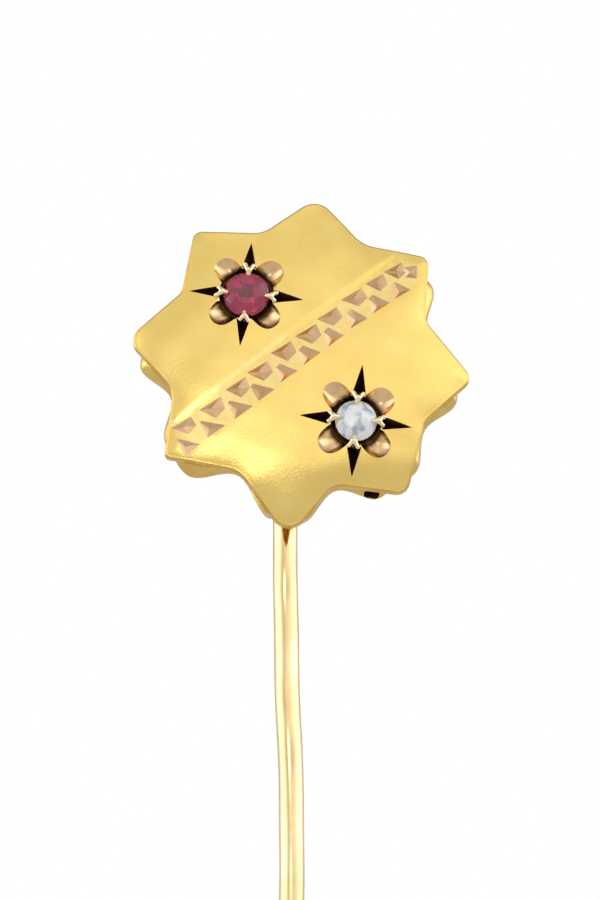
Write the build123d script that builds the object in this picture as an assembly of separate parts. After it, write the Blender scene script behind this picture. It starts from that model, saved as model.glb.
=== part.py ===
from build123d import *
import math
import os

# Stick pin (tie pin) with a hollow eight-pointed star head.
#
# Frame: millimetres, +Z up. The pin hangs point down along Z. The origin is on
# the wire's axis at the middle of its straight shank. The star looks along -Y.
# The head is drawn in its own flat frame (x right, y up, z out of the face) and
# then placed by HEAD.

# ---------------------------------------------------------------- dimensions
# star head
star_r = 7.0            # centre to a point of the star
dome_drop = 0.55        # how far the face falls from its centre to a point
dome_power = 3.0        # the face is nearly flat inside and rolls down outside
plate_t = 0.42          # sheet of the face
# the eight points and the eight inner corners, hand sawn, so not quite regular
star_pts = [
    (0.02, 7.28), (2.11, 5.25), (4.93, 5.05), (4.97, 2.17),
    (7.18, -0.08), (5.31, -2.22), (4.87, -5.27), (1.83, -5.25),
    (0.19, -7.59), (-2.08, -5.08), (-5.18, -4.72), (-5.09, -1.93),
    (-7.26, 0.20), (-5.19, 2.40), (-4.96, 5.24), (-2.08, 5.34),
]
# how far each of them is rounded, in the same order
star_radii = [
    0.82, 1.36, 0.43, 0.99, 0.46, 0.92, 0.60, 0.76,
    0.83, 1.13, 0.24, 1.05, 0.70, 0.62, 0.39, 1.14,
]
# gallery: the lobed, bellied strip behind the face
wall_t = 0.35
wall_back = -1.85       # head z of the gallery's back edge
wall_belly_z = -1.15
wall_inset = 0.10       # gallery inside the face's edge, at its front rim
wall_inset_back = 0.26  # and at its back rim
# each lobe of the gallery, from the top one clockwise: how far its two flanks
# belly out past the star's edge, and how much of the star's point it rounds off
lobes = [
    (0.05, 0.10, 0.92), (0.12, 0.28, 0.66), (0.12, 0.16, 0.68), (0.13, 0.13, 0.74),
    (-0.14, -0.16, 1.35), (0.38, 0.16, 0.50), (0.22, 0.08, 0.78), (-0.06, 0.04, 0.72),
]
lobe_at = 0.62          # where along each flank the belly is widest
back_t = 0.25           # back plate
vent_r = 0.32           # air hole that a closed hollow head needs for soldering
# stones
stone_off = 2.50        # each stone is this far across and this far up or down
ruby_r = 1.00
diamond_r = 0.92
girdle_z = -0.13        # girdle below the local face
hole_clear = 0.10
# cut star around each stone
ray_in = 1.10           # rays begin here, from the stone's centre
ray_out = 2.32          # and run out to nothing here
ray_w = 0.56
ray_depth = 0.38
petal_c = 1.33          # four scooped petals between the rays
petal_r = 0.54
petal_depth = 0.34
# claws
claw_w = 0.42
claw_out = 1.38
claw_in = 0.80
collet_t = 0.30
collet_back = -1.15
# engraved band from the lower left point to the upper right point
# centres of the three-sided cuts: along the band, across it
pits_upper = [
    (-5.58, 0.71), (-4.23, 0.57), (-2.90, 0.55), (-1.76, 0.53), (-0.46, 0.58),
    (0.78, 0.50), (1.98, 0.52), (3.32, 0.52), (4.50, 0.46), (5.40, 0.42),
]
pits_lower = [
    (-5.99, 0.00), (-4.80, -0.03), (-3.43, -0.15), (-2.25, -0.17), (-0.98, -0.14),
    (0.24, -0.15), (1.48, -0.17), (2.76, -0.17), (3.93, -0.23), (5.00, -0.32),
]
pit_depth = 0.20
# wire
wire_r = 0.515
shank_len = 27.0        # straight part of the wire, centred on the origin
point_len = 8.0         # ground point
head_up = 36.5          # head centre above the origin
head_side = 0.70        # head centre to the right of the wire
head_turn = 6.3         # the star is turned this many degrees clockwise on the wire
wire_top = 2.6          # the wire ends this far above the head centre
pad_len = 6.4           # oval pad soldered between the back plate and the wire
pad_w = 2.3
pad_t = 0.45

# ---------------------------------------------------------------- placement
wire_y = 0.0
back_z = wall_back - back_t                 # head z of the back plate's rear face
wire_gap = 0.22                             # pad metal between back plate and wire
head_y = -(wire_r + wire_gap - back_z)      # head z = 0 lands at this Y
turn = math.radians(head_turn)
HEAD = Plane(
    origin=(head_side, head_y, head_up),
    x_dir=(math.cos(turn), 0, -math.sin(turn)),
    z_dir=(0, -1, 0),
)


def place(shape):
    """Head frame to the part's frame."""
    return HEAD.location * shape


def dome(r):
    return -dome_drop * (r / star_r) ** dome_power


def dome_xy(x, y):
    return dome(math.hypot(x, y))


def star_face():
    """The star's flat outline with its points and inner corners rounded."""
    face = Face(Wire.make_polygon(star_pts, close=True))
    for (x, y), radius in zip(star_pts, star_radii):
        corner = min(face.vertices(), key=lambda v: math.hypot(v.X - x, v.Y - y))
        face = face.fillet_2d(radius, [corner])
    return face


def dome_solid(top_shift, bottom_z, radius=8.2):
    """Round body whose top is the dome moved by top_shift and whose base is flat."""
    rs = [0, 1.2, 2.4, 3.6, 4.8, 6.0, 7.2, radius]
    top = Spline([(r, 0, dome(r) + top_shift) for r in rs],
                 tangents=[(1, 0, 0), (1, 0, -dome_drop * dome_power / star_r
                                       * (radius / star_r) ** (dome_power - 1))])
    end = top @ 1
    start = top @ 0
    line1 = Line(end, (radius, 0, bottom_z))
    line2 = Line((radius, 0, bottom_z), (0, 0, bottom_z))
    line3 = Line((0, 0, bottom_z), start)
    face = Face(Wire([top, line1, line2, line3]))
    return revolve(face, Axis.Z, 360)


def pit(corners, bottom, grow=1.35):
    """Three-sided cut: plane walls from three surface corners to one low point.

    The solid is the same three planes carried on above the surface."""
    b = Vector(*bottom)
    pts = [bottom]
    for c in corners:
        v = Vector(*c) - b
        pts.append(tuple(b + v * grow))
    return ConvexPolyhedron(pts)


# ---------------------------------------------------------------- face plate
full_top = dome_solid(0.0, -4.0)
full_under = dome_solid(-plate_t, -4.0)

outline = star_face()
plate = (extrude(outline, amount=4.0, dir=(0, 0, -1))
         + extrude(outline, amount=1.0, dir=(0, 0, 1)))
plate = (plate & full_top) - full_under

stones = {"ruby": (-stone_off, stone_off, ruby_r), "diamond": (stone_off, -stone_off, diamond_r)}
for cx, cy, r in stones.values():
    zs = dome_xy(cx, cy)
    plate -= Pos(cx, cy, zs - 1.0) * Cylinder(r + hole_clear, 2.6)
    for k in range(4):
        a = math.radians(90 * k)
        ux, uy = math.cos(a), math.sin(a)
        # claw slot
        plate -= (Pos(cx, cy, zs - 1.0) * Rot(0, 0, 90 * k)
                  * Pos((claw_out + 0.4) / 2, 0, 0) * Box(claw_out - 0.4, claw_w, 2.6))
        # ray
        tip = (cx + ux * ray_out, cy + uy * ray_out)
        base = (cx + ux * ray_in, cy + uy * ray_in)
        left = (base[0] - uy * ray_w / 2, base[1] + ux * ray_w / 2)
        right = (base[0] + uy * ray_w / 2, base[1] - ux * ray_w / 2)
        plate -= pit(
            [(*tip, dome_xy(*tip)), (*left, zs), (*right, zs)],
            (base[0], base[1], zs - ray_depth), 1.12)
        # petal
        d = a + math.pi / 4
        px, py = cx + petal_c * math.cos(d), cy + petal_c * math.sin(d)
        rho = (petal_r ** 2 + petal_depth ** 2) / (2 * petal_depth)
        plate -= Pos(px, py, dome_xy(px, py) + rho - petal_depth) * Sphere(rho)

# two rows of three-sided cuts; u runs along the band, v across it
s2 = math.sqrt(0.5)


def uv(u, v):
    return ((u - v) * s2, (u + v) * s2)


def band_cut(corners, low, depth):
    cs = [uv(*c) for c in corners]
    p = uv(*low)
    return pit([(*c, dome_xy(*c)) for c in cs], (*p, dome_xy(*p) - depth))


for i, (u, v) in enumerate(pits_upper):
    f = 0.80 if i in (0, 8, 9) else 0.94
    left, right, apex = (u - 0.44 * f, v + 0.30), (u + 0.56 * f, v + 0.10), (u - 0.12 * f, v - 0.41 * f)
    w = 0.46 if i < 3 else 0.30
    mid = ((left[0] + right[0]) / 2, (left[1] + right[1]) / 2)
    low = (mid[0] + (apex[0] - mid[0]) * w, mid[1] + (apex[1] - mid[1]) * w)
    plate -= band_cut([left, right, apex], low, pit_depth)
for i, (u, v) in enumerate(pits_lower):
    f = 0.90 if i == 0 else 1.0
    far = min(max((i - 1) / 4.0, 0), 1)
    apex = (u - 0.17 * f * (1 - far), v + (0.54 - 0.12 * far) * f)
    right, left = (u + (0.52 - 0.10 * far) * f, v - 0.27), (u - 0.36 * f, v - 0.20)
    w = 0.45 if i < 4 else 0.33
    mid = ((left[0] + right[0]) / 2, (left[1] + right[1]) / 2)
    low = (mid[0] + (apex[0] - mid[0]) * w, mid[1] + (apex[1] - mid[1]) * w)
    plate -= band_cut([apex, right, left], low, pit_depth)
# the last cut fills the corner of the upper right point
plate -= band_cut([(5.86, 0.36), (6.38, 0.10), (5.98, -0.36), (5.62, -0.02)], (5.98, 0.06), 0.16)

# ---------------------------------------------------------------- gallery strip
def lobed_ring(shift, belly, z):
    """Closed smooth outline that follows the star but rounds off its points.

    belly scales how far the flanks stand out, and shift moves the whole line."""
    pts = []
    n = len(star_pts)
    for k, (before_out, after_out, flat) in enumerate(lobes):
        i = 2 * k
        tip = Vector(*star_pts[i])
        before = Vector(*star_pts[i - 1])
        after = Vector(*star_pts[(i + 1) % n])
        out = tip.normalized()

        def flank(base, grow):
            p = base + (tip - base) * lobe_at
            side = (tip - base).cross(Vector(0, 0, 1)).normalized()
            if side.dot(p) < 0:
                side = side * -1
            return p + side * (grow * belly + shift)

        pts.append(flank(before, before_out))
        pts.append(tip - out * (flat - 0.5 * (before_out + after_out) * belly * 0.3 - shift))
        pts.append(flank(after, after_out))
        nxt = lobes[(k + 1) % 8][0]
        pts.append(after + after.normalized() * (0.6 * min(after_out, 0.5) * belly
                                                 + 0.1 * nxt * belly + shift))
    return Wire([Spline([(p.X, p.Y, z) for p in pts], periodic=True)])


def lobed_solid(extra):
    rings = [
        lobed_ring(-wall_inset + extra, 0.0, 0.2),
        lobed_ring(-wall_inset + extra, 0.0, -0.55),
        lobed_ring(-0.5 * wall_inset + extra, 0.66, -0.82),
        lobed_ring(extra, 1.0, wall_belly_z),
        lobed_ring(-0.25 * wall_inset_back + extra, 0.80, -1.50),
        lobed_ring(-wall_inset_back + extra, 0.25, wall_back),
    ]
    return Solid.make_loft(rings, ruled=True)


# the front rim meets the underside of the face, which is close to a cone out there
r1, r2 = 5.2, 6.9
z1, z2 = dome(r1) - plate_t, dome(r2) - plate_t
fall = (z2 - z1) / (r2 - r1)
rim_cone = revolve(Face(Wire.make_polygon(
    [(0, 0, z1 - fall * r1), (9, 0, z1 + fall * (9 - r1)), (9, 0, -4), (0, 0, -4)],
    close=True)), Axis.Z, 360)
gallery = ((Part() + lobed_solid(0.0)) - (Part() + lobed_solid(-wall_t))) & rim_cone
# air hole low on the lower right lobe
vent_at = (3.42, -5.3, -1.10)
gallery -= Pos(*vent_at) * Rot(90, 0, 0) * Cylinder(vent_r, 1.6)

# ---------------------------------------------------------------- back plate
back_ring = Face(lobed_ring(-wall_inset_back, 0.25, wall_back))
back_plate = extrude(back_ring, amount=back_t, dir=(0, 0, -1))

# ---------------------------------------------------------------- stones
def ring_pts(r, z, n, phase=0.0):
    return [(r * math.cos(math.radians(phase + 360 * k / n)),
             r * math.sin(math.radians(phase + 360 * k / n)), z) for k in range(n)]


zs_r = dome_xy(-stone_off, stone_off)
ruby = ConvexPolyhedron(
    ring_pts(ruby_r * 0.56, 0.30, 8, 22.5) + ring_pts(ruby_r * 0.80, 0.17, 8, 0)
    + ring_pts(ruby_r, 0.02, 16, 11.25) + ring_pts(ruby_r, -0.03, 16, 11.25)
    + ring_pts(ruby_r * 0.55, -0.50, 8, 0) + [(0, 0, -0.80)])
ruby = Pos(-stone_off, stone_off, zs_r + girdle_z) * ruby

zs_d = dome_xy(stone_off, -stone_off)
diamond = ConvexPolyhedron(
    [(0, 0, 0.46)] + ring_pts(diamond_r * 0.52, 0.34, 6, 10)
    + ring_pts(diamond_r, 0.03, 12, 10) + ring_pts(diamond_r, -0.05, 12, 10))
diamond = Pos(stone_off, -stone_off, zs_d + girdle_z) * diamond

# ---------------------------------------------------------------- collets
def collet(cx, cy, r, stone, seat_r, seat_z):
    zs = dome_xy(cx, cy)
    ring = Pos(cx, cy, 0) * extrude(
        Sketch() + Circle(r + hole_clear + collet_t), amount=-collet_back, dir=(0, 0, -1))
    ring = (Part() + ring) & full_under
    ring -= Pos(cx, cy, -1.0) * Cylinder(seat_r, 4.0)
    for k in range(4):
        # claw: up through its slot, over the girdle and down to a thin nose
        prof = [(r + 0.02, 0, -0.75), (claw_out, 0, -0.75), (claw_out, 0, -0.06),
                (claw_out - 0.16, 0, 0.10), (r + 0.02, 0, 0.17),
                (claw_in + 0.06, 0, 0.13), (claw_in, 0, 0.02), (r - 0.1, 0, -0.16)]
        claw = extrude(Face(Wire.make_polygon([(p[0], -claw_w / 2, p[2]) for p in prof])),
                       amount=claw_w, dir=(0, 1, 0))
        ring += Pos(cx, cy, zs) * Rot(0, 0, 90 * k) * claw
    ring -= stone
    return ring


ruby_collet = collet(-stone_off, stone_off, ruby_r, ruby, ruby_r - 0.22, zs_r - 0.5)
diamond_collet = collet(stone_off, -stone_off, diamond_r, diamond, diamond_r - 0.22, zs_d - 0.4)

# ---------------------------------------------------------------- wire
# The top of the wire is a little uneven: long shallow bends, then the shank.
shank_top = shank_len / 2
path_pts = [
    (0.00, wire_y, head_up + wire_top - wire_r),
    (-0.02, wire_y, head_up - 8.0),
    (-0.04, wire_y, head_up - 13.0),
    (0.11, wire_y, head_up - 18.0),
    (0.00, wire_y, shank_top + 1.0),
    (0.00, wire_y, shank_top - 3.0),
]


def turn_at(a, b, c):
    v1 = Vector(*b) - Vector(*a)
    v2 = Vector(*c) - Vector(*b)
    return v1.get_angle(v2)


radii = []
for a, b, c in zip(path_pts, path_pts[1:], path_pts[2:]):
    run = min((Vector(*b) - Vector(*a)).length, (Vector(*c) - Vector(*b)).length)
    radii.append(0.42 * run / math.tan(math.radians(turn_at(a, b, c) / 2)))
print("wire bend radii mm:", [round(r) for r in radii])
upper = FilletPolyline(*path_pts, radius=radii)
upper_wire = sweep(Plane(origin=path_pts[0], z_dir=upper % 0) * Circle(wire_r), path=upper)
print("wire volume / (section x length):",
      round(upper_wire.volume / (math.pi * wire_r ** 2 * upper.length), 4))
lower_len = shank_len - (shank_top - path_pts[-1][2])
lower_wire = Pos(0, 0, path_pts[-1][2] - lower_len / 2) * Cylinder(wire_r, lower_len)
point_prof = Face(Wire([
    Line((0, 0, -shank_top), (wire_r, 0, -shank_top)),
    Spline([(wire_r, 0, -shank_top), (wire_r * 0.86, 0, -shank_top - point_len * 0.30),
            (wire_r * 0.50, 0, -shank_top - point_len * 0.70),
            (0.07, 0, -shank_top - point_len + 0.10)],
           tangents=[(0, 0, -1), (-0.17, 0, -1)]),
    Line((0.07, 0, -shank_top - point_len + 0.10), (0, 0, -shank_top - point_len)),
    Line((0, 0, -shank_top - point_len), (0, 0, -shank_top)),
]))
point = revolve(point_prof, Axis.Z, 360)
cap = Pos(*path_pts[0]) * Sphere(wire_r)
pin_stem = upper_wire + lower_wire + point + cap

# ---------------------------------------------------------------- pad
# Oval pad on the back plate, in line with the wire and grooved for it.
pad_flat = extrude(Ellipse(pad_w / 2, pad_len / 2), amount=pad_t, taper=12)
pad_at = Location((0, head_y - back_z, head_up - 0.6), (-90, 0, 0))
stem_pad = (pad_at * pad_flat) - pin_stem
stem_pad = stem_pad.solids().sort_by(SortBy.VOLUME)[-1]

# ---------------------------------------------------------------- output
parts = {
    "star_face": place(plate),
    "gallery_wall": place(gallery),
    "back_plate": place(back_plate),
    "ruby": place(ruby),
    "diamond": place(diamond),
    "ruby_collet": place(ruby_collet),
    "diamond_collet": place(diamond_collet),
    "stem_pad": stem_pad,
    "pin_stem": pin_stem,
}
os.makedirs("parts", exist_ok=True)
for name, shape in parts.items():
    export_step(shape, f"parts/{name}.step")
    bb = shape.bounding_box()
    print(name, "vol", round(shape.volume, 3), "solids", len(shape.solids()),
          "box", [round(v, 2) for v in (*bb.min, *bb.max)])
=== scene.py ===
import math

import bpy
import bmesh
import numpy as np
import openvdb
from mathutils import Euler, Matrix, Vector
from mathutils.geometry import delaunay_2d_cdt


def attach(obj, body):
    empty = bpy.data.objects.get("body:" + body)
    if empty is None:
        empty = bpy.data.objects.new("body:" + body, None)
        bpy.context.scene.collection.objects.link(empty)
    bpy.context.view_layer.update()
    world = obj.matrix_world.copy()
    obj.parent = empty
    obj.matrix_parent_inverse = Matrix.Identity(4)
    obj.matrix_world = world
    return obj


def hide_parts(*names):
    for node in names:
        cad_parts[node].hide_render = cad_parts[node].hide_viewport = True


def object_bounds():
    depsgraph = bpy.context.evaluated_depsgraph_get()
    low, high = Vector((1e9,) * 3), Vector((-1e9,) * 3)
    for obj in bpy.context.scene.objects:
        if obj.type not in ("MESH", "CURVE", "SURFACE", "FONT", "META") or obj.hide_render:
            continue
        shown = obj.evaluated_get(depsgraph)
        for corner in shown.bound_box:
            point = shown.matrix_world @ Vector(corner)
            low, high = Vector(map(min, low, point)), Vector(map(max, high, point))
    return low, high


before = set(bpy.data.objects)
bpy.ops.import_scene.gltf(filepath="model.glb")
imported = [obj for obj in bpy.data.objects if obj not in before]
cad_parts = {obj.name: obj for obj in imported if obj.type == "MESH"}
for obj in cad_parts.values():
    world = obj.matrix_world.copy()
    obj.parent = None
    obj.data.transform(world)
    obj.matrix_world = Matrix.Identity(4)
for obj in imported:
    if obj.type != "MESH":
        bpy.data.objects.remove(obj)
cad_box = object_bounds()
MM = 0.001
rng = np.random.RandomState(7)

# --------------------------------------------------------------------------
# The head's own frame in millimetres (x right, y up, z out of the face),
# as in part.py, and its place in the row frame.
STAR_R, DROP, POWER = 7.0, 0.55, 3.0
PLATE_T = 0.42
HEAD_TURN = math.radians(6.3)
HEAD_AT = (0.70, -2.835, 36.5)
STAR = [
    (0.02, 7.28), (2.11, 5.25), (4.93, 5.05), (4.97, 2.17),
    (7.18, -0.08), (5.31, -2.22), (4.87, -5.27), (1.83, -5.25),
    (0.19, -7.59), (-2.08, -5.08), (-5.18, -4.72), (-5.09, -1.93),
    (-7.26, 0.20), (-5.19, 2.40), (-4.96, 5.24), (-2.08, 5.34),
]
STAR_RADII = [
    0.82, 1.36, 0.43, 0.99, 0.46, 0.92, 0.60, 0.76,
    0.83, 1.13, 0.24, 1.05, 0.70, 0.62, 0.39, 1.14,
]
STONES = {"ruby": (-2.5, 2.5, 0.95), "diamond": (2.5, -2.5, 0.86)}
HOLE_CLEAR = 0.19
GIRDLE_Z = -0.17

ct, st = math.cos(HEAD_TURN), math.sin(HEAD_TURN)
HEAD = Matrix((
    (ct, st, 0, HEAD_AT[0]),
    (0, 0, -1, HEAD_AT[1]),
    (-st, ct, 0, HEAD_AT[2]),
    (0, 0, 0, 1),
))
TO_WORLD = Matrix.Scale(MM, 4) @ HEAD


# --------------------------------------------------------------------------
# helpers
def new_object(name, verts, faces, mats=(), face_mats=None, smooth=True, sharp=None,
               matrix=TO_WORLD, attrs=None):
    me = bpy.data.meshes.new(name)
    me.from_pydata([tuple(v) for v in verts], [], [tuple(f) for f in faces])
    me.validate(clean_customdata=False)
    for m in mats:
        me.materials.append(m)
    if face_mats is not None:
        me.polygons.foreach_set("material_index", np.asarray(face_mats, np.int32))
    me.polygons.foreach_set("use_smooth", np.full(len(me.polygons), smooth))
    if attrs:
        for key, vals in attrs.items():
            a = me.attributes.new(key, "FLOAT", "POINT")
            a.data.foreach_set("value", np.asarray(vals, np.float32))
    me.transform(matrix)
    if sharp is not None:
        me.set_sharp_from_angle(angle=math.radians(sharp))
    me.update()
    ob = bpy.data.objects.new(name, me)
    bpy.context.scene.collection.objects.link(ob)
    return ob


def recalc(ob):
    bm = bmesh.new()
    bm.from_mesh(ob.data)
    bmesh.ops.recalc_face_normals(bm, faces=bm.faces)
    bm.to_mesh(ob.data)
    bm.free()


def polygon_mask(pts, poly):
    """True for each point inside the closed polygon."""
    x, y = pts[:, 0], pts[:, 1]
    inside = np.zeros(len(pts), bool)
    n = len(poly)
    for i in range(n):
        x1, y1 = poly[i]
        x2, y2 = poly[(i + 1) % n]
        hit = (y1 > y) != (y2 > y)
        with np.errstate(divide="ignore", invalid="ignore"):
            xc = (x2 - x1) * (y - y1) / (y2 - y1) + x1
        inside ^= hit & (x < xc)
    return inside


def segment_distance(pts, a, b):
    a, b = np.asarray(a, float), np.asarray(b, float)
    ab = b - a
    t = np.clip(((pts - a) @ ab) / max(ab @ ab, 1e-12), 0, 1)
    return np.hypot(*(pts - a - t[:, None] * ab).T)


def fillet_loop(pts, radii, seg=8):
    """Closed polygon with rounded corners, as a dense list of points."""
    out = []
    n = len(pts)
    for i in range(n):
        p = Vector(pts[i])
        a = (Vector(pts[i - 1]) - p).normalized()
        b = (Vector(pts[(i + 1) % n]) - p).normalized()
        half = math.acos(max(-1, min(1, a.dot(b)))) / 2
        d = radii[i] / math.tan(half)
        c = p + (a + b).normalized() * (radii[i] / math.sin(half))
        s, e = p + a * d - c, p + b * d - c
        a0, a1 = math.atan2(s.y, s.x), math.atan2(e.y, e.x)
        da = (a1 - a0 + math.pi) % (2 * math.pi) - math.pi
        for k in range(seg + 1):
            t = a0 + da * k / seg
            out.append((c.x + radii[i] * math.cos(t), c.y + radii[i] * math.sin(t)))
    return out


def resample(loop, step):
    """Closed loop at an even spacing."""
    p = np.asarray(loop, float)
    q = np.vstack([p, p[:1]])
    d = np.r_[0, np.cumsum(np.hypot(*np.diff(q, axis=0).T))]
    n = int(round(d[-1] / step))
    s = np.linspace(0, d[-1], n, endpoint=False)
    return np.c_[np.interp(s, d, q[:, 0]), np.interp(s, d, q[:, 1])]


def offset_loop(loop, dist):
    """Moves a dense closed loop inwards (positive) by dist."""
    p = np.asarray(loop, float)
    t = np.roll(p, -1, 0) - np.roll(p, 1, 0)
    t /= np.hypot(*t.T)[:, None]
    area = 0.5 * np.sum(p[:, 0] * np.roll(p[:, 1], -1) - np.roll(p[:, 0], -1) * p[:, 1])
    nrm = np.c_[-t[:, 1], t[:, 0]] * (1 if area > 0 else -1)
    return p + nrm * dist


def cdt(points, edges):
    vs, es, fs, ov, oe, of_ = delaunay_2d_cdt(
        [Vector(p) for p in points], [tuple(e) for e in edges], [], 0, 1e-6)
    return np.array([tuple(v) for v in vs]), np.array(fs, int).reshape(-1, 3), ov


# --------------------------------------------------------------------------
# The face: height above the head's flat plane
def lower_roll(x, y):
    """The lower right edge and the bottom point turn down a few degrees more."""
    d = (-5.0 + 0.18 * x - y) / 0.25
    soft = 0.25 * np.log1p(np.exp(np.clip(d, -40, 40)))
    steep = 0.085 + 0.060 * np.clip((x - 0.4) / 1.4, 0, 1)
    return -steep * soft / (1 + np.exp(-(x + 1.5) / 0.35))


def undulate(x, y):
    return (lower_roll(x, y) + 0.010 * np.sin(1.31 * x + 0.7 * y + 0.4) * np.sin(0.9 * y - 0.5 * x + 1.3)
            + 0.006 * np.sin(2.3 * x - 1.7 * y + 2.0) + 0.004 * np.sin(3.9 * y + 1.1 * x))


def dome(x, y):
    return -DROP * (np.hypot(x, y) / STAR_R) ** POWER


def edge_roll(d):
    """The sheet rolls down a little towards its filed edge, d from the outline."""
    return -0.095 * np.exp(-np.asarray(d) / 0.45)


OUTLINE = resample(fillet_loop(STAR, STAR_RADII, 14), 0.075)


def outline_distance(p):
    p = np.asarray(p, float).reshape(-1, 2)
    best = np.full(len(p), 99.0)
    q = OUTLINE[::2]
    for a, b in zip(q, np.roll(q, -1, 0)):
        best = np.minimum(best, segment_distance(p, a, b))
    return best


S2 = math.sqrt(0.5)


def from_uv(u, v):
    return ((u - v) * S2, (u + v) * S2)


def band_mid(u):
    return 0.20 - 0.016 * u


# engraved cuts: corners (u, v) on the surface, then the low point
def make_pits():
    pits = []
    up_c = [(-5.58, 0.71), (-4.23, 0.57), (-2.90, 0.55), (-1.76, 0.53), (-0.46, 0.58),
            (0.78, 0.50), (1.98, 0.52), (3.32, 0.52), (4.50, 0.46), (5.45, 0.40)]
    lo_c = [(-5.99, 0.00), (-4.80, -0.03), (-3.43, -0.15), (-2.25, -0.17), (-0.98, -0.14),
            (0.24, -0.15), (1.48, -0.17), (2.76, -0.17), (3.93, -0.23), (5.00, -0.32)]
    for k, (u, v) in enumerate(up_c):
        f = 0.80 if k == 0 else (0.94 if k < 8 else 0.80)
        j = rng.uniform(-0.04, 0.04, 6)
        L = (u - 0.49 * f + j[0], v + 0.31 + j[1] * 0.5)
        R = (u + 0.59 * f + j[2], v + 0.18 + j[3] * 0.5)
        A = (u - 0.12 * f + j[4], v - 0.42 * f + j[5])
        Q = (u + 0.45 * f + j[4], v - 0.35 * f + j[3])
        low = (u + (-0.02 if k < 5 else 0.06) + rng.uniform(-0.06, 0.06), v + (0.11 if k < 6 else 0.07) + rng.uniform(-0.03, 0.03))
        pits.append(("up", [L, R, Q, A], low, rng.uniform(0.18, 0.24)))
    for k, (u, v) in enumerate(lo_c):
        f = 0.90 if k == 0 else 1.0
        right = min(max((k - 1) / 4.0, 0), 1)
        j = rng.uniform(-0.04, 0.04, 6)
        A = (u - 0.17 * f * (1 - right) + j[0], v + (0.54 - 0.12 * right) * f + j[1])
        R = (u + (0.52 - 0.06 * right) * f + j[2], v - 0.28 + j[3] * 0.5)
        L = (u - (0.36 + 0.06 * right) * f + j[4], v - 0.22 + j[5] * 0.5)
        w = 0.45 if k < 4 else 0.33
        mid = ((L[0] + R[0]) / 2, (L[1] + R[1]) / 2)
        low = (mid[0] + (A[0] - mid[0]) * w, mid[1] + (A[1] - mid[1]) * w)
        half = 0.04 + 0.10 * right
        A1, A2 = (A[0] - half, A[1] - 0.02), (A[0] + half, A[1] + 0.02 * right)
        pits.append(("lo", [A1, A2, R, L], low, rng.uniform(0.17, 0.23)))
    # the last cut fills the corner of the upper right point
    pits.append(("end", [(5.86, 0.36), (6.38, 0.10), (5.98, -0.36), (5.62, -0.02)], (5.98, 0.06), 0.16))
    out = []
    for kind, cs, low, depth in pits:
        out.append((kind, [from_uv(*c) for c in cs], from_uv(*low), depth))
    return out


PITS = make_pits()

RAY_IN, RAY_OUT, RAY_HALF, RAY_DEPTH = 1.16, 2.33, 0.275, 0.36
PETAL_OUT, PETAL_RUN, PETAL_RHO, PETAL_DEPTH = 1.90, 0.80, 0.60, 0.35


def ray_half(t):
    """Half width of a ray, t from 0 at its inner end to 1 at its tip."""
    t = np.clip(t, 0, 1)
    return RAY_HALF * (1 - t ** 1.25) * (1 - 0.10 * np.sin(math.pi * t))


def ray_depth(t):
    t = np.clip(t, 0, 1)
    return RAY_DEPTH * (1 - t) ** 0.85


# per stone and ray: small changes of length, width and direction
RAYS = []
PETALS = []
for name, (cx, cy, r) in STONES.items():
    lens = {"ruby": (0.04, -0.03, 0.05, 0.00), "diamond": (-0.02, 0.03, 0.00, 0.04)}[name]
    for k in range(4):
        ang = math.radians(90 * k + rng.uniform(-1.6, 1.6))
        RAYS.append((name, cx, cy, ang, RAY_OUT + lens[k], rng.uniform(0.92, 1.08)))
        da = math.radians(90 * k + 45 + rng.uniform(-3, 3))
        PETALS.append((name, cx, cy, da, PETAL_OUT + rng.uniform(-0.05, 0.05),
                       PETAL_RHO * rng.uniform(0.95, 1.05), PETAL_DEPTH * rng.uniform(0.94, 1.06)))


def petal_axis_depth(t, deep):
    """How deep the gouge's bottom is, t from 0 at its round outer end inwards."""
    t = np.clip(t / PETAL_RUN, 0, 1)
    return deep * (1 - (1 - t) ** 2.3)


def petal_half(t, rho, deep):
    d = petal_axis_depth(t, deep)
    return np.sqrt(np.clip(rho ** 2 - (rho - d) ** 2, 0, None))


def channel(u, v):
    """The band's ground is a little lower than the face, with a bevelled upper border."""
    m = band_mid(u)
    up = m + 0.83
    t = np.clip((up + 0.13 - v) / 0.13, 0, 1)
    t2 = np.clip((v - m + 0.9) / 0.9, 0, 1)
    ends = np.clip((6.15 - u) / 0.3, 0, 1)
    return -0.026 * t * t2 * ends


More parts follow.
